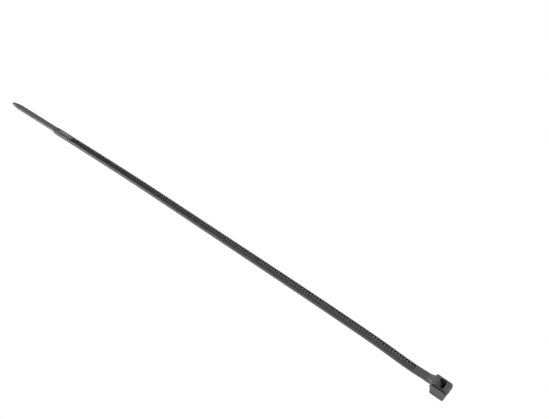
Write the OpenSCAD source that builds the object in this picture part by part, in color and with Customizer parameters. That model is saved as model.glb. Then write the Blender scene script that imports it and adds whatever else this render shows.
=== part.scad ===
// Self-locking cable tie, moulded in one piece from nylon.
// The tie lies as it comes to rest: the head stands on its exit face and the toothed
// face of the strap looks up. The strap leaves the head below its entry face, rises a
// little and then droops in a shallow curve until the tip of the tail meets the surface.
// +X runs from the tail to the head, +Z is up. The origin is at the middle of the
// overall length, on the surface that the tie lies on.

/* [Overall] */
// Overall length, tip of the tail to the end of the head
overall_l = 250; // [160:1:400]

/* [Strap] */
// Width of the strap over both rails
strap_w = 3.7; // [3.2:0.1:4.2]
// Thickness of the strap over the rails
strap_t = 1.2; // [1:0.05:1.4]
// Width of each side rail
rail_w = 0.52; // [0.35:0.01:0.8]
// Length of the plain neck between the last tooth and the head's full width
neck_l = 8.9; // [6:0.1:14]
// How far the arch of the strap stays below the entry face of the head
arch_drop = 0.4; // [0:0.05:0.8]
// How far the strap dips below its arch where the neck bends
neck_dip = 1.05; // [0:0.05:1.3]
// Distance from the head to the lowest point of the dip
dip_reach = 9; // [7:0.5:12]
// Length over which the dip fades out towards the tail
dip_spread = 13; // [10:0.5:16]
// Distance from the head at which the top of the neck starts to ramp up
ramp_out = 2.3; // [1.5:0.1:3]
// Distance past the root of the head at which the ramp meets the entry face
ramp_in = 1; // [0.5:0.1:1.3]

/* [Teeth] */
// Distance from one tooth to the next
tooth_pitch = 1.384; // [1:0.001:2]
// Height of a tooth above the floor of the ladder
tooth_h = 0.5; // [0.3:0.01:0.6]
// Depth of the tooth crests below the top of the rails
crest_drop = 0.1; // [0.05:0.01:0.2]
// Length of the ramp of a tooth, on the side of the tail
tooth_ramp = 0.72; // [0.4:0.01:0.85]
// Length of the flat crest of a tooth
tooth_crest = 0.2; // [0.05:0.01:0.3]
// Length over which the locking face of a tooth drops, on the side of the head
tooth_drop = 0.06; // [0:0.01:0.1]
// Distance from the tip of the tail to the first tooth
first_tooth = 39.5; // [35:0.5:50]

/* [Tail] */
// Length of the plain tail, tip to shoulder
tail_l = 29.2; // [20:0.1:31]
// Width of the tail
tail_w = 3; // [2.2:0.1:3.2]
// Thickness of the tail
tail_t = 0.8; // [0.6:0.05:0.95]
// Length of the pointed end of the tail
tip_l = 6; // [3:0.1:10]
// How much of the point is blunted off
tip_blunt = 1.1; // [0.5:0.1:2]
// Length of the shoulder where the tail widens to the strap
shoulder_l = 1.8; // [0.8:0.1:2.5]

/* [Head] */
// Height of the head, exit face to entry face
head_h = 6.3; // [5.4:0.1:8]
// Width of the rim of the head
head_w = 6.2; // [5.8:0.1:7.5]
// Length of the rim of the head, without the gate tab
head_l = 7.4; // [7:0.1:9]
// Corner radius of the rim at the far end of the head
corner_r = 1.1; // [0.6:0.1:1.4]
// Corner radius of the rim where the neck flares into it
root_r = 0.35; // [0.2:0.05:0.5]
// How far the body stands proud of the rim on top of it
body_step = 0.12; // [0.05:0.01:0.2]
// Corner radius of the tapered body
body_r = 0.75; // [0.5:0.05:0.9]
// Taper of the wall of the body that faces the tail, in degrees
front_taper = 11; // [4:0.5:12]
// Taper of the wall at the far end of the body, in degrees
end_taper = 4; // [2:0.5:10]
// Taper of each side wall of the body, in degrees
side_taper = 5; // [0:0.5:5.5]
// Rounding of the two long top edges of the rim
edge_round = 0.7; // [0.2:0.05:0.9]

/* [Gate tab] */
// How far the tab left by the mould's gate stands out of the end of the rim
tab_l = 0.3; // [0.25:0.05:0.6]
// Width of the tab
tab_w = 3.2; // [1.5:0.1:4]
// Length over which the top of the tab slopes down
tab_slope_l = 1.2; // [0.5:0.1:1.4]
// How far the top of the tab slopes down
tab_drop = 0.3; // [0.1:0.05:0.6]
// Width of the nick on each side of the tab
nick_w = 0.35; // [0.2:0.05:0.5]
// Depth of the nick on each side of the tab
nick_d = 0.3; // [0.1:0.05:0.5]

/* [Slot] */
// Clearance round the strap in the slot, on each side
slot_gap = 0.15; // [0.1:0.01:0.2]
// Length of the slot along the tie
slot_l = 3.1; // [2.9:0.1:3.2]
// Thickness of the wall at the far end of the slot, at the entry face, without the tab
end_wall = 2.3; // [2.2:0.1:2.5]
// Width of the lead-in chamfer round the entry
lead_in = 0.25; // [0.1:0.05:0.6]

/* [Pawl] */
// Depth of the pawl's hinge below the entry face
hinge_depth = 1.2; // [1:0.1:1.4]
// Thickness of the hinge web
hinge_t = 0.45; // [0.3:0.05:0.6]
// How far the top of the pawl slopes down from its hinge to its first tooth
pawl_slope = 0.8; // [0.3:0.05:0.9]
// Thickness of the pawl behind its teeth
pawl_t = 0.7; // [0.6:0.05:0.8]
// Clearance between the pawl and each side wall of the slot
pawl_side_gap = 0.15; // [0.1:0.01:0.25]
// Gap from the teeth of the pawl to the far wall at its hinged end
pawl_gap_top = 1; // [0.9:0.05:1.1]
// Gap from the teeth of the pawl to the far wall at its free end
pawl_gap_end = 0.5; // [0.4:0.05:0.8]
// Height of the teeth of the pawl
pawl_tooth_h = 0.35; // [0.2:0.01:0.4]
// Number of teeth on the pawl
pawl_teeth = 2; // [1:1:2]

/* [Neck relief] */
// Length of the thinned bend under the neck
relief_l = 3.6; // [2:0.1:5]
// Depth of the thinned bend
relief_d = 0.15; // [0.05:0.01:0.3]
// Distance from the thinned bend to the rim of the head
relief_back = 0.6; // [0.4:0.1:1.5]

/* [Hidden] */
nylon = [0.16, 0.165, 0.16];

// Stations along the tie
tip_x = -overall_l / 2;
head_end = overall_l / 2;
rim_end = head_end - tab_l;
head_root = rim_end - head_l;
shoulder_x = tip_x + tail_l;
ladder_x = shoulder_x + shoulder_l;
teeth_x = tip_x + first_tooth;
teeth_room = head_root - neck_l - teeth_x;
tooth_count = floor(teeth_room / tooth_pitch);
teeth_end = teeth_x + tooth_count * tooth_pitch;
flare_r = (head_w - strap_w) / 2 - root_r;
relief_x = head_root - relief_back - relief_l / 2;
// The dip of the neck has run out before this station
bend_x = head_root - 4 * dip_reach;

// Stations in the head
slot_w = strap_w + 2 * slot_gap;
slot_end = rim_end - end_wall;
slot_root = slot_end - slot_l;
rim_z = head_h - strap_t;
hinge_z = head_h - hinge_depth;
// Drop from the root of a pawl tooth to its tip, the rest of the pitch being its locking face
pawl_ramp = 0.8 * tooth_pitch;

// Extra length that lets a cut break cleanly through a face
over = 0.5;
// Longest straight step in the drawing of the shallow curve, and of the bend at the neck
curve_step = 8;
bend_step = 0.9;

// Height of the top of the rails at a station along the tie
arch_z = head_h - arch_drop;
droop = (arch_z - strap_t) / pow(head_root - tip_x, 2);
function dip(d) = neck_dip * exp(-pow((d - dip_reach) / dip_spread, 2));
function lie(x) =
    let (d = max(0, head_root - x))
    arch_z - droop * d * d - dip(d);

// Height of the underside of the strap, which is scooped out under the neck
function relief(x) =
    let (share = abs(x - relief_x) / (relief_l / 2))
    share < 1 ? relief_d * (1 + cos(180 * share)) / 2 : 0;
function under(x) = lie(x) - strap_t + relief(x);

// Evenly spaced stations from one place to another, both ends included
function steps(from, to, step) =
    let (n = max(1, ceil(abs(to - from) / step)))
    [for (i = [0:n]) from + (to - from) * i / n];

// Stations towards the head that are close together where the neck bends
function stations(from, to) =
    to <= bend_x || from >= bend_x
        ? steps(from, to, to <= bend_x ? curve_step : bend_step)
        : concat(steps(from, bend_x, curve_step), steps(bend_x + bend_step, to, bend_step));

// A list in the opposite order
function reversed(list) = [for (i = [len(list) - 1:-1:0]) list[i]];

// Points of a circular arc
function arc(cx, cy, r, from, to, n = 8) =
    [for (i = [0:n])
        let (a = from + (to - from) * i / n)
        [cx + r * cos(a), cy + r * sin(a)]];

// A list of points in the opposite order, mirrored across the length of the tie
function mirrored(points) = [for (p = reversed(points)) [p[0], -p[1]]];

// Sets an outline drawn as x and z across the tie, centred on its middle plane
module across(width) {
    rotate([90, 0, 0])
        linear_extrude(height = width, center = true)
            children();
}

// Sets an outline drawn as y and z along the tie, from the root of the head onwards
module along(length) {
    translate([head_root, 0, 0])
        rotate([90, 0, 90])
            linear_extrude(height = length)
                children();
}

// Half width of the pointed end of the tail at a distance from its tip
function tip_half(d) = tail_w / 2 * sin(90 * (d + tip_blunt) / (tip_l + tip_blunt));

// The tie seen from above: tail, shoulder, strap, flare, rim and gate tab
module plan_outline() {
    half = concat(
        [for (i = [0:8]) [tip_x + tip_l * i / 8, tip_half(tip_l * i / 8)]],
        [[shoulder_x, tail_w / 2], [ladder_x, strap_w / 2]],
        arc(head_root - flare_r, strap_w / 2 + flare_r, flare_r, -90, 0),
        arc(head_root + root_r, head_w / 2 - root_r, root_r, 180, 90, 4),
        arc(rim_end - corner_r, head_w / 2 - corner_r, corner_r, 90, 0),
        [[rim_end, tab_w / 2 + nick_w], [rim_end - nick_d, tab_w / 2]],
        [[head_end, tab_w / 2]]
    );
    polygon(concat(half, mirrored(half)));
}

// The strap seen from the side, with the rim of the head as its end. The top of the neck
// ramps up to the entry face, and its underside runs on a little way into the body.
module side_outline() {
    polygon(concat(
        [for (x = stations(tip_x, head_root)) [x, under(x)]],
        [[head_root + over, under(head_root)], [head_root + over, rim_z]],
        [[head_end, rim_z], [head_end, head_h - tab_drop]],
        [[head_end - tab_slope_l, head_h], [head_root + ramp_in, head_h]],
        [for (x = reversed(stations(ladder_x, head_root - ramp_out))) [x, lie(x)]],
        [for (x = reversed(stations(tip_x, shoulder_x))) [x, lie(x) - strap_t + tail_t]]
    ));
}

module strap_blank() {
    difference() {
        intersection() {
            across(head_w + 2 * over) side_outline();
            linear_extrude(height = head_h + over) plan_outline();
        }
        rounded_off();
        mirror([0, 1, 0]) rounded_off();
    }
}

// What the rounding takes off one long top edge of the rim
module rounded_off() {
    cy = head_w / 2 - edge_round;
    cz = head_h - edge_round;
    along(head_l + tab_l + over)
        polygon(concat(
            arc(cy, cz, edge_round, 0, 90),
            [[cy, head_h + over], [head_w / 2 + over, head_h + over], [head_w / 2 + over, cz]]
        ));
}

// One space of the ladder: up the ramp of a tooth, over its crest and down its locking face
function tooth_points(x) = [
    [x, lie(x) - crest_drop - tooth_h],
    [x + tooth_ramp, lie(x + tooth_ramp) - crest_drop],
    [x + tooth_ramp + tooth_crest, lie(x + tooth_ramp + tooth_crest) - crest_drop],
    [x + tooth_ramp + tooth_crest + tooth_drop, lie(x + tooth_pitch) - crest_drop - tooth_h]
];

// What is cut away between the rails. Before the first tooth the floor is level with the tail.
module ladder_cut() {
    across(strap_w - 2 * rail_w)
        polygon(concat(
            [for (x = stations(ladder_x, teeth_x)) [x, lie(x) - strap_t + tail_t]],
            [for (i = [0:tooth_count - 1]) each tooth_points(teeth_x + i * tooth_pitch)],
            [[teeth_end, lie(teeth_end) - crest_drop - tooth_h]],
            [[teeth_end + tooth_h / 2, lie(teeth_end) + over]],
            [for (x = reversed(stations(ladder_x - shoulder_l, teeth_end))) [x, lie(x) + over]],
            [[ladder_x - shoulder_l, lie(ladder_x) - strap_t + tail_t]]
        ));
}

// A thin rounded rectangle, one of the two that the body of the head is drawn between
module body_slab(x0, x1, width, z) {
    slab_t = 0.05;
    for (x = [x0 + body_r, x1 - body_r], y = [body_r - width / 2, width / 2 - body_r])
        translate([x, y, z])
            cylinder(r = body_r, h = slab_t, $fn = 32);
}

module head_body() {
    x0 = head_root - body_step;
    x1 = rim_end + body_step;
    top_w = head_w + 2 * body_step;
    hull() {
        body_slab(x0, x1, top_w, rim_z);
        body_slab(
            x0 + rim_z * tan(front_taper),
            x1 - rim_z * tan(end_taper),
            top_w - 2 * rim_z * tan(side_taper),
            0
        );
    }
}

// A funnel seen from the side, between two places, whose mouth is at the entry face
module funnel(from, to) {
    polygon([
        [from, head_h - lead_in],
        [from - lead_in - over, head_h + over],
        [to + lead_in + over, head_h + over],
        [to, head_h - lead_in]
    ]);
}

// The way through the head, with a lead-in on all four sides of the entry
module slot_cut() {
    translate([slot_root, -slot_w / 2, -over])
        cube([slot_l, slot_w, head_h + 2 * over]);
    intersection() {
        across(head_w) funnel(slot_root, slot_end);
        along(head_l) funnel(-slot_w / 2, slot_w / 2);
    }
}

// The pawl hangs from the wall on the side of the tail and leans towards the far wall.
// Its teeth have the pitch of the strap, with their locking faces down.
module pawl() {
    front_top = slot_end - pawl_gap_top - pawl_tooth_h;
    lean = (pawl_gap_top - pawl_gap_end) / (pawl_teeth * tooth_pitch);
    z0 = hinge_z - pawl_slope;
    pawl_end = z0 - pawl_teeth * tooth_pitch;
    front_end = slot_end - pawl_gap_end - pawl_tooth_h;
    across(slot_w - 2 * pawl_side_gap)
        polygon(concat(
            [[slot_root - over, hinge_z], [slot_root + hinge_t, hinge_z]],
            [for (i = [0:pawl_teeth - 1])
                let (z = z0 - i * tooth_pitch, x = front_top + (z0 - z) * lean)
                each [
                    [x, z],
                    [x + pawl_tooth_h + lean * pawl_ramp, z - pawl_ramp]
                ]],
            [[front_end, pawl_end], [front_end - pawl_t, pawl_end]],
            [[slot_root + hinge_t + over / 2, hinge_z - 2 * hinge_t]],
            [[slot_root - over, hinge_z - hinge_t]]
        ));
}

module cable_tie() {
    color(nylon) {
        difference() {
            union() {
                strap_blank();
                head_body();
            }
            ladder_cut();
            slot_cut();
        }
        pawl();
    }
}

cable_tie();
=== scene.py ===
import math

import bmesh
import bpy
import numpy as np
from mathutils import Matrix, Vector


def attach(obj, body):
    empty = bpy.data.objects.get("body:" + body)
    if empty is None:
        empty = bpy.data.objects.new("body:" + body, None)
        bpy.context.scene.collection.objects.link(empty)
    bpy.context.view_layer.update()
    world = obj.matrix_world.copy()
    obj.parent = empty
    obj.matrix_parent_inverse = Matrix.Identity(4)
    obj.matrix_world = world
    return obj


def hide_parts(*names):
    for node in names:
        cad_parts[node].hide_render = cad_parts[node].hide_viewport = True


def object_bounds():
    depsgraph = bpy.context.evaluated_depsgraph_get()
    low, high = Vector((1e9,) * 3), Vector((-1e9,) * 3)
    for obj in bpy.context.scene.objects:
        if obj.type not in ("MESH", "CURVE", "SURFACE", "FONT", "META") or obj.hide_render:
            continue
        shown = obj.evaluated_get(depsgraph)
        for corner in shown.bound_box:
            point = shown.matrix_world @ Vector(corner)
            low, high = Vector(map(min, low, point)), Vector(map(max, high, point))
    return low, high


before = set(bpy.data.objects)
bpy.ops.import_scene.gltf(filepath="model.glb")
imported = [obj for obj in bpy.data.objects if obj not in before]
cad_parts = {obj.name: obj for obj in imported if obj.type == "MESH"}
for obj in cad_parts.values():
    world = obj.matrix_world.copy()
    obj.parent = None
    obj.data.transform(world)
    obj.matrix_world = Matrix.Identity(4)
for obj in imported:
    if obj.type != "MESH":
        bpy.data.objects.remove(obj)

# %% [markdown]
# # A self-locking cable tie
#
# This lesson dresses one small moulded part: a black nylon cable tie, 250 mm long and
# less than 4 mm wide. The CAD model already holds its true form, with every tooth of the
# ladder and the pawl in the head. What it lacks is what a steel mould and a warm plastic
# add to that form: edges that are never quite sharp, small fillets where faces meet, a
# faint twist in the strap and a satin skin.
#
# The frame comes in first and its box is kept and printed. All lengths below are in
# millimetres, because the tie is drawn in millimetres, and they are scaled to Blender's
# metres in one place.

cad_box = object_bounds()
MM = 0.001
low, high = cad_box
print("CAD box in mm:", [round((b - a) / MM, 2) for a, b in zip(low, high)])

# %% [markdown]
# ## The sizes of the tie
#
# The same values that drive the CAD source are written here once. Derived stations follow
# from them, so the dressed piece keeps the same teeth in the same places.
#
# Two values differ on purpose. HINGE_DEPTH and PAWL_SLOPE put the top of the pawl deeper and
# make it steeper than the CAD source has it, so that less light comes back out of the slot.
# The swell, a slight fullness under the neck, is in this scene only.

# %% Sizes, in millimetres
OVERALL_L = 250.0
STRAP_W = 3.7
STRAP_T = 1.2
RAIL_W = 0.52
NECK_L = 8.9
ARCH_DROP = 0.4
NECK_DIP = 1.05
DIP_REACH = 9.0
DIP_SPREAD = 13.0
RAMP_OUT = 2.3
RAMP_IN = 1.0

TOOTH_PITCH = 1.384
TOOTH_H = 0.5
CREST_DROP = 0.1
TOOTH_RAMP = 0.72
TOOTH_CREST = 0.2
FIRST_TOOTH = 39.5

TAIL_L = 29.2
TAIL_W = 3.0
TAIL_T = 0.8
TIP_L = 6.0
TIP_BLUNT = 1.1
SHOULDER_L = 1.8

HEAD_H = 6.3
HEAD_W = 6.2
HEAD_L = 7.4
CORNER_R = 1.1
ROOT_R = 0.35
BODY_STEP = 0.12
BODY_R = 0.75
FRONT_TAPER = math.radians(11)
END_TAPER = math.radians(4)
SIDE_TAPER = math.radians(5)

TAB_L = 0.3
TAB_W = 3.2
TAB_SLOPE_L = 1.2
TAB_DROP = 0.3
NICK_W = 0.35
NICK_D = 0.3

SLOT_GAP = 0.15
SLOT_L = 3.1
END_WALL = 2.3
LEAD_IN = 0.25

HINGE_DEPTH = 1.3
HINGE_T = 0.45
PAWL_SLOPE = 1.4
PAWL_T = 0.7
PAWL_SIDE_GAP = 0.15
PAWL_GAP_TOP = 1.0
PAWL_GAP_END = 0.5
PAWL_TOOTH_H = 0.35
PAWL_TEETH = 2

SWELL_L = 5.0
SWELL_D = 0.2

TIP_X = -OVERALL_L / 2
HEAD_END = OVERALL_L / 2
RIM_END = HEAD_END - TAB_L
HEAD_ROOT = RIM_END - HEAD_L
SHOULDER_X = TIP_X + TAIL_L
LADDER_X = SHOULDER_X + SHOULDER_L
TEETH_X = TIP_X + FIRST_TOOTH
TOOTH_COUNT = math.floor((HEAD_ROOT - NECK_L - TEETH_X) / TOOTH_PITCH)
TEETH_END = TEETH_X + TOOTH_COUNT * TOOTH_PITCH
FLARE_R = (HEAD_W - STRAP_W) / 2 - ROOT_R
RIM_Z = HEAD_H - STRAP_T
SLOT_W = STRAP_W + 2 * SLOT_GAP
SLOT_END = RIM_END - END_WALL
SLOT_ROOT = SLOT_END - SLOT_L
SWELL_X = HEAD_ROOT - 1.2
print("teeth on the strap:", TOOTH_COUNT)

# %% [markdown]
# ## How the tie lies
#
# A tie that has been packed in a bundle is never straight. This one stands on its head,
# dips where the neck bends, and droops in a long shallow curve until its tail meets the
# table. On top of that main curve, which the CAD model has too, lie two faint waves, a
# slight bend to the side at the tail, and a twist that turns the top of the tail away by a
# few degrees.
#
# The plain tail is lifted a little too. On the real tie its top is about level with the top
# of the rails, while the CAD model has its underside level with that of the strap.
#
# One function gives the height of the rails, one the bend and one the twist, all from the
# distance to the head. Every point of the strap goes through them.

# %% The curve and the twist of the strap
ARCH_Z = HEAD_H - ARCH_DROP
TAIL_LIFT = 0.5
DROOP = (ARCH_Z - STRAP_T) / (HEAD_ROOT - TIP_X) ** 2
TWIST = math.radians(-8.5)
TWIST_FROM = 70.0
TWIST_RUN = 150.0
LEAN = math.radians(1.5)
SIDE_BEND = -0.55
BEND_FROM = 150.0
WAVES = ((28.0, 22.0, -0.22), (160.0, 32.0, 0.33))


def reach(x):
    """Distance from the head, as an array, and nothing past the head's root."""
    return np.maximum(0.0, HEAD_ROOT - np.asarray(x, float))


def lie(x):
    """Height of the top of the rails."""
    d = reach(x)
    dip = NECK_DIP * np.exp(-(((d - DIP_REACH) / DIP_SPREAD) ** 2))
    waves = sum(height * np.exp(-(((d - middle) / width) ** 2)) for middle, width, height in WAVES)
    waves = waves * np.clip(d / 8, 0, 1)
    return ARCH_Z - DROOP * d * d - dip + waves


def swell(x):
    """How far the underside of the neck stands out below the strap, just before the head."""
    share = np.abs(np.asarray(x, float) - SWELL_X) / (SWELL_L / 2)
    return np.where(share < 1, SWELL_D * (1 + np.cos(np.pi * np.minimum(share, 1))) / 2, 0)


def twist(x):
    d = reach(x)
    share = np.clip((d - TWIST_FROM) / TWIST_RUN, 0, 1)
    return TWIST * share * share * (3 - 2 * share) + LEAN * np.clip(d / 20, 0, 1)


def side_bend(x):
    run = (HEAD_ROOT - TIP_X) - BEND_FROM
    return SIDE_BEND * (np.maximum(0, reach(x) - BEND_FROM) / run) ** 2


def tail_lift(x):
    """How far the underside of the tail lies above that of the strap."""
    share = np.clip((LADDER_X - np.asarray(x, float)) / SHOULDER_L, 0, 1)
    return TAIL_LIFT * share * share * (3 - 2 * share)


for x in (TIP_X, -40, 60, HEAD_ROOT - DIP_REACH, HEAD_ROOT):
    print("x %7.1f  rails at %.2f mm, twist %.1f deg" % (x, lie(x), math.degrees(twist(x))))

# %% [markdown]
# ## The strap as a row of sections
#
# The strap has the same kind of section from end to end: a flat bar with a channel between
# two rails. Only its width, its thickness and the floor of the channel change. That makes it
# a good case for a sweep: one closed ring of points per station, all rings with the same
# number of points, and quads between neighbouring rings. No boolean is needed, so the mesh
# stays clean, and every edge can get its own small radius from the points of the ring.

# %% One section of the strap
EDGE_R = 0.09
RAIL_R = 0.05
FOOT_R = 0.06
SKIN = 0.05


def corner(cy, cz, r, start, end, n):
    """Points of a small arc, angles in degrees, counted the usual way."""
    return [
        (cy + r * math.cos(math.radians(a)), cz + r * math.sin(math.radians(a)))
        for a in np.linspace(start, end, n)
    ]


def half_section(half_w, bottom, top, floor, edge_r):
    """The near half of a section, from the middle of the underside to the middle of the floor."""
    half_w = half_w + SKIN
    inner = half_w - SKIN - RAIL_W
    depth = max(top - floor, 0.0)
    rail_r = min(RAIL_R, depth / 2)
    foot_r = min(FOOT_R, depth / 2)
    points = [(0.0, bottom), (-half_w * 0.55, bottom)]
    points += corner(-half_w + edge_r, bottom + edge_r, edge_r, 270, 180, 5)
    points += corner(-half_w + edge_r, top - edge_r, edge_r, 180, 90, 5)
    points += corner(-inner - rail_r, top - rail_r, rail_r, 90, 0, 4)
    points += corner(-inner + foot_r, floor + foot_r, foot_r, 180, 270, 3)
    points += [(-inner * 0.4, floor), (0.0, floor)]
    return points


def section(half_w, bottom, top, floor, edge_r=EDGE_R):
    """A closed ring of (y, z) points, the far half being the near one mirrored."""
    near = half_section(half_w, bottom, top, floor, edge_r)
    far = [(-y, z) for y, z in reversed(near[1:-1])]
    return near + far


print("points in a ring:", len(section(1.85, 0.0, 1.2, 0.6)))

# %% [markdown]
# ## The stations along the strap
#
# Each tooth of the ladder is a ramp that faces the tail, a narrow crest, and a steep locking
# face that the pawl catches. The mould rounds the crest and the foot of each tooth, so a
# tooth takes ten stations: close together at the crest and at the foot, far apart on the
# ramp. The list below holds, for every station, the half width, the thickness and how deep
# the floor of the channel lies under the top of the rails.

# %% Stations: x, half width, thickness, floor depth
FLOOR_DEPTH = CREST_DROP + TOOTH_H
TAIL_DEPTH = 0.5
CREST_R = 0.05


def tooth_stations(x):
    """The floor of one space of the ladder and the tooth after it."""
    crest = x + TOOTH_RAMP
    lock = crest + TOOTH_CREST
    return [
        (x, FLOOR_DEPTH),
        (x + 0.10, FLOOR_DEPTH - 0.035),
        (x + TOOTH_RAMP / 2, CREST_DROP + TOOTH_H / 2),
        (crest - CREST_R, CREST_DROP + 0.035),
        (crest, CREST_DROP + 0.008),
        (lock - CREST_R, CREST_DROP),
        (lock - 0.01, CREST_DROP + 0.02),
        (lock + 0.01, CREST_DROP + CREST_R),
        (lock + 0.05, FLOOR_DEPTH - CREST_R),
        (lock + 0.10, FLOOR_DEPTH - 0.005),
    ]


def tip_half(d):
    """Half width of the pointed end at a distance from its tip."""
    return TAIL_W / 2 * math.sin(math.pi / 2 * (d + TIP_BLUNT) / (TIP_L + TIP_BLUNT))


stations = []
for d in (0.0, 0.05, 0.15, 0.3, 0.6, 1.2, 2.0, 3.0, 4.0, 5.0):
    stations.append((TIP_X + d, tip_half(d), TAIL_T, 0.0))
for x in np.linspace(TIP_X + TIP_L, SHOULDER_X, 12):
    stations.append((x, TAIL_W / 2, TAIL_T, 0.0))
SHOULDER_STEPS = 8
for i in range(1, SHOULDER_STEPS + 1):
    share = i / SHOULDER_STEPS
    ease = share * share * (3 - 2 * share)
    half_w = TAIL_W / 2 + (STRAP_W - TAIL_W) / 2 * ease
    x = SHOULDER_X + SHOULDER_L * share
    stations.append((x, half_w, TAIL_T + (STRAP_T - TAIL_T) * ease, TAIL_DEPTH * ease))
for x in np.linspace(LADDER_X, TEETH_X, 5)[1:-1]:
    stations.append((x, STRAP_W / 2, STRAP_T, TAIL_DEPTH))
stations.append((TEETH_X - 0.06, STRAP_W / 2, STRAP_T, TAIL_DEPTH))
for i in range(TOOTH_COUNT):
    for x, depth in tooth_stations(TEETH_X + i * TOOTH_PITCH):
        stations.append((x, STRAP_W / 2, STRAP_T, depth))
stations.append((TEETH_END, STRAP_W / 2, STRAP_T, FLOOR_DEPTH))
for x, depth in ((0.12, 0.42), (0.2, 0.2), (0.27, 0.05), (0.34, 0.0)):
    stations.append((TEETH_END + x, STRAP_W / 2, STRAP_T, depth))
STRAP_END = HEAD_ROOT - RAMP_OUT - 0.4
for x in np.arange(TEETH_END + 0.8, STRAP_END, 0.4):
    stations.append((x, STRAP_W / 2, STRAP_T, 0.0))
stations.append((STRAP_END, STRAP_W / 2, STRAP_T, 0.0))
print("stations along the strap:", len(stations))

# %% [markdown]
# ## From sections to a closed mesh
#
# Each ring is turned by the twist about the middle of the strap, lifted to the height of
# the curve, and joined to the ring before it. A cap at each end closes the mesh. The points
# are written straight into a mesh, which is far faster here than modelling by operators.

# %% Build the strap


def strap_points():
    rings = []
    for x, half_w, thick, depth in stations:
        base = float(lie(x)) - STRAP_T + float(tail_lift(x))
        aside = float(side_bend(x))
        lifted = -float(swell(x))
        edge_r = min(EDGE_R, half_w * 0.4, thick * 0.4)
        if x < TIP_X + 0.4:
            edge_r = min(0.35, thick * 0.45)
        ring = section(half_w, lifted, thick, thick - depth, edge_r)
        turn = float(twist(x))
        c, s = math.cos(turn), math.sin(turn)
        middle = STRAP_T / 2
        rings.append([
            (x, aside + y * c - (z - middle) * s, base + middle + y * s + (z - middle) * c)
            for y, z in ring
        ])
    return rings


def mesh_from_rings(name, rings):
    """A closed mesh: quads between the rings and one face at each end."""
    count = len(rings[0])
    verts = [p for ring in rings for p in ring]
    faces = []
    for r in range(len(rings) - 1):
        a, b = r * count, (r + 1) * count
        for i in range(count):
            j = (i + 1) % count
            faces.append((a + i, b + i, b + j, a + j))
    faces.append(tuple(range(count)))
    last = (len(rings) - 1) * count
    faces.append(tuple(last + i for i in reversed(range(count))))
    mesh = bpy.data.meshes.new(name)
    mesh.from_pydata([(x * MM, y * MM, z * MM) for x, y, z in verts], [], faces)
    mesh.validate()
    return mesh


def add_object(name, mesh):
    piece = bpy.data.objects.new(name, mesh)
    bpy.context.scene.collection.objects.link(piece)
    return piece


def open_edges(mesh):
    """Counts the edges that don't have exactly two faces. A closed mesh has none."""
    bm = bmesh.new()
    bm.from_mesh(mesh)
    bad = sum(1 for e in bm.edges if len(e.link_faces) != 2)
    bmesh.ops.recalc_face_normals(bm, faces=bm.faces)
    bm.to_mesh(mesh)
    bm.free()
    return bad


strap_mesh = mesh_from_rings("strap", strap_points())
print("strap faces:", len(strap_mesh.polygons), "open edges:", open_edges(strap_mesh))

# %% [markdown]
# ## The head as one smooth field
#
# The head is harder than the strap. A flat rim carries a tapered box, the neck flares into
# the rim, a slot goes through it all and the pawl hangs inside, and on the real moulding
# every one of these edges is softly rounded. Booleans and bevels tend to fight here.
#
# A signed distance field handles it well. A function says how far each point of space is
# from the surface, negative inside, and two fields can be joined or cut with a radius. The
# mesh is then drawn where the field is zero.

# %% Tools for distance fields


def rounded_both(a, b, r):
    """Inside both a and b, with a rounded edge where they meet."""
    u, v = np.maximum(a + r, 0), np.maximum(b + r, 0)
    return np.minimum(np.maximum(a, b), -r) + np.sqrt(u * u + v * v)


def rounded_either(a, b, r):
    """Inside a or b, with a fillet where they meet."""
    return -rounded_both(-a, -b, r)


def polygon_field(points, x, y):
    """Signed distance from (x, y) to a closed outline."""
    points = np.asarray(points, float)
    nearest = np.full(x.shape, np.inf)
    inside = np.zeros(x.shape, bool)
    for (ax, ay), (bx, by) in zip(points, np.roll(points, -1, axis=0)):
        ex, ey = bx - ax, by - ay
        length2 = ex * ex + ey * ey
        if length2 < 1e-12:
            continue
        t = np.clip(((x - ax) * ex + (y - ay) * ey) / length2, 0, 1)
        nearest = np.minimum(nearest, (x - ax - t * ex) ** 2 + (y - ay - t * ey) ** 2)
        if ay != by:
            crosses = (ay > y) != (by > y)
            inside ^= crosses & (x < ax + (y - ay) * ex / ey)
    return np.where(inside, -1, 1) * np.sqrt(nearest)


def arc_points(cx, cy, r, start, end, n=10):
    return [
        (cx + r * math.cos(math.radians(a)), cy + r * math.sin(math.radians(a)))
        for a in np.linspace(start, end, n)
    ]


print("a rounded corner, 0.3 mm in:", round(float(rounded_both(np.array(-0.0), np.array(-0.0), 0.3)), 3))

# %% [markdown]
# ## The parts of the head
#
# The outline of the rim is the one of the CAD model: the strap, the flare, the two small
# corners at the root, the large ones at the far end, and the tab that the mould's gate left
# there between two nicks. The body under it tapers on all four sides so that it leaves the
# mould. The pawl is a profile drawn from the side.

# %% Outlines used by the field


def rim_outline():
    start = HEAD_ROOT - 8
    half = [(start, STRAP_W / 2)]
    half += arc_points(HEAD_ROOT - FLARE_R, STRAP_W / 2 + FLARE_R, FLARE_R, -90, 0)
    half += arc_points(HEAD_ROOT + ROOT_R, HEAD_W / 2 - ROOT_R, ROOT_R, 180, 90, 6)
    half += arc_points(RIM_END - CORNER_R, HEAD_W / 2 - CORNER_R, CORNER_R, 90, 0)
    half += [
        (RIM_END, TAB_W / 2 + NICK_W),
        (RIM_END - NICK_D, TAB_W / 2),
        (HEAD_END, TAB_W / 2),
    ]
    return half + [(x, -y) for x, y in reversed(half)]


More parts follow.
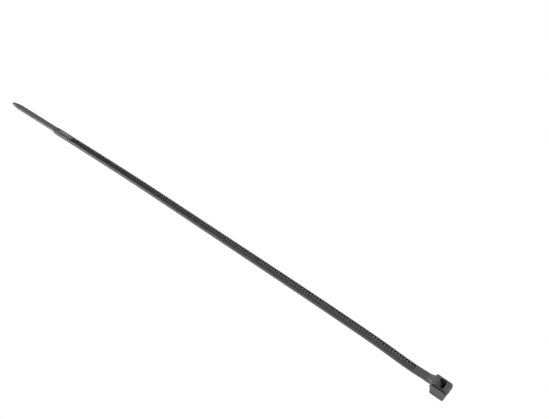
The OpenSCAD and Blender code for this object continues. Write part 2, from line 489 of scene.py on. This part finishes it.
def pawl_outline():
    hinge_z = HEAD_H - HINGE_DEPTH
    front_top = SLOT_END - PAWL_GAP_TOP - PAWL_TOOTH_H
    front_end = SLOT_END - PAWL_GAP_END - PAWL_TOOTH_H
    lean = (PAWL_GAP_TOP - PAWL_GAP_END) / (PAWL_TEETH * TOOTH_PITCH)
    ramp = 0.8 * TOOTH_PITCH
    z0 = hinge_z - PAWL_SLOPE
    foot_z = z0 - PAWL_TEETH * TOOTH_PITCH
    over = 0.4
    points = [(SLOT_ROOT - over, hinge_z), (SLOT_ROOT + HINGE_T, hinge_z)]
    for i in range(PAWL_TEETH):
        z = z0 - i * TOOTH_PITCH
        x = front_top + (z0 - z) * lean
        points += [(x, z), (x + PAWL_TOOTH_H + lean * ramp, z - ramp)]
    points += [(front_end, foot_z), (front_end - PAWL_T, foot_z)]
    points += [(SLOT_ROOT + HINGE_T + 0.25, hinge_z - 2 * HINGE_T), (SLOT_ROOT - over, hinge_z - HINGE_T)]
    return points


print("points of the rim:", len(rim_outline()), "and of the pawl:", len(pawl_outline()))

# %% [markdown]
# ## The field of the head
#
# Each wall is a plane, each join has its radius. The long top edges of the rim are cut at a
# slant and then rounded, and its far end is only rounded. The entry of the slot widens and is
# rounded too, so that the tail finds its way in.
#
# The values below are small changes to the CAD form: the top is 0.15 mm lower and the rim is
# 0.15 mm wider on each long side. They were measured on the photograph, to about 0.2 mm.
#
# The neck leaves the curve of the strap just before the head and ramps up to the flat top,
# and the line across it where the ramp starts catches the light.

# %% The field itself
TOP_SINK = 0.15
RIM_GROW = 0.15
EDGE_CUT = 0.5
END_R = 0.3
RIM_BOTTOM_R = 0.08
FOOT_EDGE_R = 0.22
FILLET_R = 0.1
ENTRY_R = 0.15
EXIT_R = 0.12
SLOT_CORNER_R = 0.2
LEDGE_T = 0.05
LEDGE_R = 0.05
RIM_ROOTED = 0.3
RAMP_X = HEAD_ROOT - RAMP_OUT
FIELD_GROW = 0.004


def head_field(x, y, z):
    plan = polygon_field(rim_outline(), x[:, :, 0], y[:, :, 0])[:, :, None]
    over_head = np.clip((x - HEAD_ROOT) / 0.6, 0, 1)
    sides_only = over_head * np.clip((RIM_END - 0.6 - x) / 0.6, 0, 1)
    plan = plan - RIM_GROW * sides_only - SKIN * (1 - over_head)
    ramp = np.clip((x - RAMP_X) / (RAMP_OUT + RAMP_IN), 0, 1)
    top = lie(x) * (1 - ramp) + (HEAD_H - TOP_SINK) * ramp
    top = top - TAB_DROP * np.clip((x - HEAD_END + TAB_SLOPE_L) / TAB_SLOPE_L, 0, 1)
    under = np.where(x < HEAD_ROOT + 0.5, lie(x) - STRAP_T - swell(x), RIM_Z - RIM_ROOTED)
    soft_top = EDGE_R + (END_R - EDGE_R) * np.clip((x - RAMP_X + 0.4) / 1.5, 0, 1)
    plate = rounded_both(plan, z - top, soft_top)
    corner_y = HEAD_W / 2 + RIM_GROW - EDGE_CUT
    slope = (np.abs(y) - corner_y + z - HEAD_H + TOP_SINK) * math.sqrt(0.5)
    plate = rounded_both(plate, slope - 3 * (1 - over_head), 0.15)
    plate = rounded_both(plate, under - z, RIM_BOTTOM_R + (EDGE_R - RIM_BOTTOM_R) * (x < HEAD_ROOT - 1))

    side = np.abs(y) - (HEAD_W / 2 + BODY_STEP - (RIM_Z - z) * math.tan(SIDE_TAPER))
    front = (HEAD_ROOT - BODY_STEP + (RIM_Z - z) * math.tan(FRONT_TAPER)) - x
    end = x - (RIM_END + BODY_STEP - (RIM_Z - z) * math.tan(END_TAPER))
    walls = rounded_both(rounded_both(side, front * math.cos(FRONT_TAPER), BODY_R), end, BODY_R)
    body = rounded_both(walls, -z, FOOT_EDGE_R)
    body = rounded_both(body, z - RIM_Z - LEDGE_T, LEDGE_R)
    solid = rounded_either(plate, body, FILLET_R)

    flare = np.clip(z - HEAD_H + LEAD_IN, 0, None)
    slot = rounded_both(np.abs(y) - SLOT_W / 2 - flare,
                        np.maximum(SLOT_ROOT - x, x - SLOT_END) - flare, SLOT_CORNER_R)
    slot = slot * np.where(flare > 0, math.sqrt(0.5), 1)
    entry = np.where(z > HEAD_H / 2, ENTRY_R, EXIT_R)
    solid = rounded_both(solid, -slot, entry)

    profile = polygon_field(pawl_outline(), x[:, 0, :], z[:, 0, :])[:, None, :]
    pawl = rounded_both(profile, np.abs(y) - SLOT_W / 2 + PAWL_SIDE_GAP, 0.06)
    return rounded_either(solid, pawl, 0.08) - FIELD_GROW


print("field at the middle of the slot:", np.round(head_field(
    *np.meshgrid([SLOT_END - 0.4], [0.0], [HEAD_H - 0.5], indexing="ij")).ravel(), 3))

# %% [markdown]
# ## Drawing a mesh at the zero of the field
#
# This is the method called surface nets. Space is cut into small cubes. Every cube that the
# surface passes through gets one point, at the mean of the places where its edges cross
# zero, and every edge that crosses zero gets one quad between the four cubes round it. The
# points are then moved onto the zero of the field along its slope, which removes the last
# trace of the cubes from the shading.

# %% Surface nets
CUBE = 0.11


def surface_net(field, lo, hi, step):
    axes = [np.arange(a, b + step, step) for a, b in zip(lo, hi)]
    x, y, z = np.meshgrid(*axes, indexing="ij")
    value = field(x, y, z)
    inside = value < 0
    shape = tuple(n - 1 for n in value.shape)
    total = np.zeros(shape + (3,))
    hits = np.zeros(shape)
    corners = [(i, j, k) for i in (0, 1) for j in (0, 1) for k in (0, 1)]

    def at(c, array):
        return array[c[0]:c[0] + shape[0], c[1]:c[1] + shape[1], c[2]:c[2] + shape[2]]

    for a in corners:
        for axis in range(3):
            if a[axis]:
                continue
            b = tuple(v + (n == axis) for n, v in enumerate(a))
            va, vb = at(a, value), at(b, value)
            crossed = (va < 0) != (vb < 0)
            t = np.where(crossed, va / np.where(crossed, va - vb, 1), 0)
            for n in range(3):
                total[..., n] += crossed * (a[n] + (t if n == axis else 0))
            hits += crossed
    used = hits > 0
    index = np.full(shape, -1)
    index[used] = np.arange(used.sum())
    cell = np.argwhere(used)
    points = cell + total[used] / hits[used][:, None]
    points = points * step + np.array([a[0] for a in axes])

    quads = []
    for axis in range(3):
        first, second = [n for n in range(3) if n != axis]
        lower = [slice(1, -1)] * 3
        lower[axis] = slice(0, -1)
        upper = [slice(1, -1)] * 3
        upper[axis] = slice(1, None)
        va, vb = inside[tuple(lower)], inside[tuple(upper)]
        for flip, mask in ((False, va & ~vb), (True, ~va & vb)):
            place = np.argwhere(mask)
            place[:, first] += 1
            place[:, second] += 1
            around = []
            for df, ds in ((0, 0), (1, 0), (1, 1), (0, 1)):
                c = place.copy()
                c[:, first] -= df
                c[:, second] -= ds
                around.append(index[c[:, 0], c[:, 1], c[:, 2]])
            quad = np.stack(around, axis=1)
            if flip != (axis == 1):
                quad = quad[:, ::-1]
            quads.append(quad)
    return points, np.concatenate(quads)


def settle(field, points, rounds=3, h=0.01):
    """Moves points along the slope of the field onto its zero."""
    for _ in range(rounds):
        value = field_at(field, points)
        slope = np.stack([
            (field_at(field, points + h * np.eye(3)[n]) - field_at(field, points - h * np.eye(3)[n])) / (2 * h)
            for n in range(3)
        ], axis=1)
        size = np.maximum((slope * slope).sum(axis=1), 0.3)
        points = points - slope * np.clip(value / size, -0.05, 0.05)[:, None]
    return points


def field_at(field, points):
    """The field at loose points, which are passed as a grid of one by one by one columns."""
    return np.concatenate([point_field(p) for p in np.array_split(points, 8)])


def point_field(points):
    x, y, z = (points[:, n].reshape(-1, 1, 1) for n in range(3))
    return head_field(x, y, z).ravel()


GRID_LOW = (HEAD_ROOT - 3.8, -HEAD_W / 2 - 0.3, -0.3)
GRID_HIGH = (HEAD_END + 0.3, HEAD_W / 2 + 0.3, HEAD_H + 0.4)


def head_with_stub(x, y, z):
    """The head, cut off square in the neck, where the strap goes on."""
    return np.maximum(head_field(x, y, z), HEAD_ROOT - 3.4 - x)


points, quads = surface_net(head_with_stub, GRID_LOW, GRID_HIGH, CUBE)
free = points[:, 0] > HEAD_ROOT - 3.4 + CUBE
points[free] = settle(head_field, points[free])
head_mesh = bpy.data.meshes.new("head")
head_mesh.from_pydata((points * MM).tolist(), [], quads.tolist())
print("head quads:", len(quads), "open edges:", open_edges(head_mesh))

# %% [markdown]
# ## One piece
#
# The real tie is one shot of nylon, so the head and the strap are joined into one closed
# mesh. The stub of the head is a hair thicker than the strap, so no two faces lie in the
# same plane and the exact boolean has an easy job.
#
# Faces that meet at less than 28 degrees are shaded as one smooth surface. The ramp of a
# tooth and its crest meet at 35 degrees, so the line between them stays sharp.

# %% Join the head and the strap
strap_piece = add_object("strap_tool", strap_mesh)
tie = add_object("tie", head_mesh)
union = tie.modifiers.new("join", "BOOLEAN")
union.operation = "UNION"
union.solver = "EXACT"
union.object = strap_piece
depsgraph = bpy.context.evaluated_depsgraph_get()
joined = bpy.data.meshes.new_from_object(tie.evaluated_get(depsgraph))
tie.modifiers.clear()
tie.data = joined
bpy.data.objects.remove(strap_piece)
print("joined faces:", len(joined.polygons), "open edges:", open_edges(joined))

for face in joined.polygons:
    face.use_smooth = True
joined.set_sharp_from_angle(angle=math.radians(28))
joined.calc_loop_triangles()
print("triangles:", len(joined.loop_triangles))

# %% [markdown]
# ## Nylon
#
# Black cable ties are nylon 6.6 with a little carbon black. The skin is satin: the mould is
# finely eroded, so the plastic has a soft shine with no mirror in it. Most of the light that
# reaches the eye is this shine, which is why the top looks dark grey and not black.
#
# The colour is close to black, the roughness is in the middle, and two noises vary it: a
# broad one for handling and moisture, and a fine one for the texture of the mould.
#
# Inside the slot the finish is rougher and the colour lighter, by a mask made from the
# coordinates of the piece. Nothing shows that the real tie changes there. The lighter colour
# is painted light: it lifts the shade in the slot, because very little light reaches the pawl.

# %% The material
NYLON_COLOUR = (0.013, 0.014, 0.013, 1.0)
# Painted light: a lighter colour inside the slot, which lifts the shade there.
SLOT_PAINTED_LIGHT = (0.10, 0.105, 0.10, 1.0)

nylon = bpy.data.materials.new("nylon_black")
nylon.use_nodes = True
nodes, links = nylon.node_tree.nodes, nylon.node_tree.links
shader = nodes["Principled BSDF"]
shader.inputs["Base Color"].default_value = NYLON_COLOUR
shader.inputs["IOR"].default_value = 1.68
shader.inputs["Specular IOR Level"].default_value = 1.0

where = nodes.new("ShaderNodeTexCoord")
broad = nodes.new("ShaderNodeTexNoise")
broad.inputs["Scale"].default_value = 130
broad.inputs["Detail"].default_value = 3
links.new(where.outputs["Object"], broad.inputs["Vector"])
satin = nodes.new("ShaderNodeMapRange")
satin.inputs["From Min"].default_value = 0.3
satin.inputs["From Max"].default_value = 0.7
satin.inputs["To Min"].default_value = 0.26
satin.inputs["To Max"].default_value = 0.34
links.new(broad.outputs["Fac"], satin.inputs["Value"])

parts = nodes.new("ShaderNodeSeparateXYZ")
links.new(where.outputs["Object"], parts.inputs["Vector"])


def within(axis, middle, half):
    """One where a coordinate of the piece lies within half of middle, both in millimetres."""
    node = nodes.new("ShaderNodeMath")
    node.operation = "COMPARE"
    links.new(parts.outputs[axis], node.inputs[0])
    node.inputs[1].default_value = middle * MM
    node.inputs[2].default_value = half * MM
    return node.outputs[0]


def both(a, b):
    node = nodes.new("ShaderNodeMath")
    node.operation = "MULTIPLY"
    links.new(a, node.inputs[0])
    links.new(b, node.inputs[1])
    return node.outputs[0]


in_slot = both(both(within("X", (SLOT_ROOT + SLOT_END) / 2, SLOT_L / 2 + 0.03),
                    within("Y", 0.0, SLOT_W / 2 + 0.03)),
               within("Z", HEAD_H / 2 - 0.5, HEAD_H / 2 - 0.1))
dull = nodes.new("ShaderNodeMix")
dull.inputs["B"].default_value = 0.85
links.new(in_slot, dull.inputs["Factor"])
links.new(satin.outputs["Result"], dull.inputs["A"])
links.new(dull.outputs["Result"], shader.inputs["Roughness"])
# The slot mask paints in the lighter colour, as painted light against the shade in the slot.
slot_painted_light = nodes.new("ShaderNodeMix")
slot_painted_light.data_type = "RGBA"
slot_painted_light.inputs["A"].default_value = NYLON_COLOUR
slot_painted_light.inputs["B"].default_value = SLOT_PAINTED_LIGHT
links.new(in_slot, slot_painted_light.inputs["Factor"])
links.new(slot_painted_light.outputs["Result"], shader.inputs["Base Color"])

fine = nodes.new("ShaderNodeTexNoise")
fine.inputs["Scale"].default_value = 5200
fine.inputs["Detail"].default_value = 2
links.new(where.outputs["Object"], fine.inputs["Vector"])
texture = nodes.new("ShaderNodeBump")
texture.inputs["Strength"].default_value = 0.25
texture.inputs["Distance"].default_value = 0.00002
links.new(fine.outputs["Fac"], texture.inputs["Height"])
links.new(texture.outputs["Normal"], shader.inputs["Normal"])
joined.materials.clear()
joined.materials.append(nylon)
print("material:", nylon.name)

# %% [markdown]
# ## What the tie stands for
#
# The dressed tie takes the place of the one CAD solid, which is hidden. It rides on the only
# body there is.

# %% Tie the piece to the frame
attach(tie, "root")
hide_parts("cable_tie")
print("tie rides on root")

# %% [markdown]
# ## The table
#
# The tie lies on white paper with a white background all round. The floor is a plain pale
# surface that keeps the shadow. The Light Path node lets the camera see it as white without
# more light on the tie.
#
# A reflection in the nylon sees the paper as white too, and half as strong by the head. The
# near side of the tie is brightest at the tail, and this fade follows that.

# %% The floor
floor_mesh = bpy.data.meshes.new("table")
F = 3.0
floor_mesh.from_pydata([(-F, -F, 0), (F, -F, 0), (F, F, 0), (-F, F, 0)], [], [(0, 1, 2, 3)])
floor = add_object("table", floor_mesh)
paper = bpy.data.materials.new("white_paper")
paper.use_nodes = True
paper_nodes, paper_links = paper.node_tree.nodes, paper.node_tree.links
paper_shader = paper_nodes["Principled BSDF"]
paper_shader.inputs["Base Color"].default_value = (0.8, 0.8, 0.8, 1)
paper_shader.inputs["Roughness"].default_value = 0.9
paper_shader.inputs["Specular IOR Level"].default_value = 0.1
glow = paper_nodes.new("ShaderNodeEmission")
glow.inputs["Strength"].default_value = 1.0
ray = paper_nodes.new("ShaderNodeLightPath")
either = paper_nodes.new("ShaderNodeMath")
either.operation = "MAXIMUM"
paper_links.new(ray.outputs["Is Camera Ray"], either.inputs[0])
paper_links.new(ray.outputs["Is Glossy Ray"], either.inputs[1])
place = paper_nodes.new("ShaderNodeNewGeometry")
along = paper_nodes.new("ShaderNodeSeparateXYZ")
paper_links.new(place.outputs["Position"], along.inputs["Vector"])
falloff = paper_nodes.new("ShaderNodeMapRange")
for slot_name, value in (("From Min", -0.05), ("From Max", 0.12), ("To Min", 1.0), ("To Max", 0.5)):
    falloff.inputs[slot_name].default_value = value
paper_links.new(along.outputs["X"], falloff.inputs["Value"])
strong = paper_nodes.new("ShaderNodeMath")
strong.operation = "MAXIMUM"
paper_links.new(falloff.outputs["Result"], strong.inputs[0])
paper_links.new(ray.outputs["Is Camera Ray"], strong.inputs[1])
share = paper_nodes.new("ShaderNodeMath")
share.operation = "MULTIPLY"
paper_links.new(either.outputs[0], share.inputs[0])
paper_links.new(strong.outputs[0], share.inputs[1])
paper_mix = paper_nodes.new("ShaderNodeMixShader")
paper_links.new(share.outputs[0], paper_mix.inputs["Fac"])
paper_links.new(paper_shader.outputs["BSDF"], paper_mix.inputs[1])
paper_links.new(glow.outputs["Emission"], paper_mix.inputs[2])
paper_links.new(paper_mix.outputs["Shader"], paper_nodes["Material Output"].inputs["Surface"])
floor_mesh.materials.append(paper)

print("the floor is in")

# %% [markdown]
# ## The room
#
# A satin surface looks like what it reflects, so the room matters more than the lamps. It is
# built from the direction of a ray alone. The side in front of the camera is bright high up
# and dark near the horizon. The flat tops of the tail, the crests and the neck reflect the
# high part. The ramps of the teeth reflect the low part, and so the ladder looks darker than
# the rails. Farther to the left the high part is brighter, for the tail.
#
# The camera itself sees the room as plain white.

# %% The room
world = bpy.data.worlds.new("room")
bpy.context.scene.world = world
world.use_nodes = True
room_nodes, room_links = world.node_tree.nodes, world.node_tree.links
background = room_nodes["Background"]
background.inputs["Strength"].default_value = 1.0


def room_node(kind, **values):
    node = room_nodes.new(kind)
    for name, value in values.items():
        setattr(node, name, value)
    return node


def remap(source, from_low, from_high, to_low, to_high):
    node = room_node("ShaderNodeMapRange", interpolation_type="SMOOTHSTEP")
    for slot_name, value in (("From Min", from_low), ("From Max", from_high),
                             ("To Min", to_low), ("To Max", to_high)):
        node.inputs[slot_name].default_value = value
    room_links.new(source, node.inputs["Value"])
    return node.outputs["Result"]


def blend_values(share, low_value, high_value):
    node = room_node("ShaderNodeMix", data_type="FLOAT")
    room_links.new(share, node.inputs["Factor"])
    room_links.new(low_value, node.inputs["A"])
    room_links.new(high_value, node.inputs["B"])
    return node.outputs["Result"]


direction = room_node("ShaderNodeTexCoord").outputs["Generated"]
split = room_node("ShaderNodeSeparateXYZ")
room_links.new(direction, split.inputs["Vector"])
away = room_node("ShaderNodeVectorMath", operation="DOT_PRODUCT")
away.inputs[1].default_value = (-0.49, 0.87, 0.0)
room_links.new(direction, away.inputs[0])
far_right = remap(split.outputs["Z"], 0.36, 0.60, 0.03, 0.62)
far_left = remap(split.outputs["Z"], 0.36, 0.58, 0.03, 1.15)
leftward = remap(split.outputs["X"], -0.42, -0.58, 0.0, 1.0)
far_side = blend_values(leftward, far_right, far_left)
near_side = remap(split.outputs["Z"], 0.0, 0.5, 0.25, 0.03)
facing = remap(away.outputs["Value"], -0.15, 0.45, 0.0, 1.0)
room_level = blend_values(facing, near_side, far_side)
seen = room_node("ShaderNodeLightPath").outputs["Is Camera Ray"]
white = room_node("ShaderNodeValue")
white.outputs[0].default_value = 1.0
room_links.new(blend_values(seen, room_level, white.outputs[0]), background.inputs["Color"])
print("the room is in")

# %% [markdown]
# ## The lamps
#
# Two large lamps stand high to the left and to the right. A small low one on the near side
# lights the side of the strap toward the tail.

# %% The lamps


def lamp(name, position, aim, size, power):
    data = bpy.data.lights.new(name, "AREA")
    data.shape = "RECTANGLE"
    data.size, data.size_y = size
    data.energy = power
    obj = bpy.data.objects.new(name, data)
    bpy.context.scene.collection.objects.link(obj)
    obj.location = position
    obj.rotation_euler = (Vector(aim) - Vector(position)).to_track_quat("-Z", "Y").to_euler()
    return obj


lamp("left_light", (-0.85, 0.1, 0.75), (0.0, 0.0, 0.0), (0.7, 0.7), 6)
lamp("right_light", (0.85, 0.35, 0.75), (0.0, 0.0, 0.0), (0.7, 0.7), 4)
lamp("low_light", (-0.5, -0.38, 0.12), (-0.08, 0.0, 0.0), (0.35, 0.2), 3.4)
print("the lamps are in")

# %% [markdown]
# ## The camera
#
# The photograph looks down on the tie at 45 degrees from the side of its head, with the
# camera rolled a little. A perspective fit of the strap's edges and the head's corners gave
# the place and the lens.

# %% Camera
AZIMUTH = math.radians(29.06)
ELEVATION = math.radians(44.6)
ROLL = math.radians(11.46)
EYE = Vector((150.36, -213.39, 279.76)) * MM
LENS = 56.08

look = Vector((
    -math.sin(AZIMUTH) * math.cos(ELEVATION),
    math.cos(AZIMUTH) * math.cos(ELEVATION),
    -math.sin(ELEVATION),
))
right = look.cross(Vector((0, 0, 1))).normalized()
up = right.cross(look)
turned_right = right * math.cos(ROLL) + up * math.sin(ROLL)
turned_up = up * math.cos(ROLL) - right * math.sin(ROLL)
pose = Matrix((turned_right, turned_up, -look)).transposed().to_4x4()
pose.translation = EYE

camera_data = bpy.data.cameras.new("camera")
camera_data.lens = LENS
camera_data.sensor_width = 36
camera_data.clip_start = 0.01
camera = bpy.data.objects.new("camera", camera_data)
camera.matrix_world = pose
bpy.context.scene.collection.objects.link(camera)
bpy.context.scene.camera = camera
bpy.context.scene.view_settings.view_transform = "Standard"
print("camera at", [round(v, 4) for v in EYE])

# %% [markdown]
# ## Finish
#
# The view layer is brought up to date at the end.

# %% Update the view layer
bpy.context.view_layer.update()
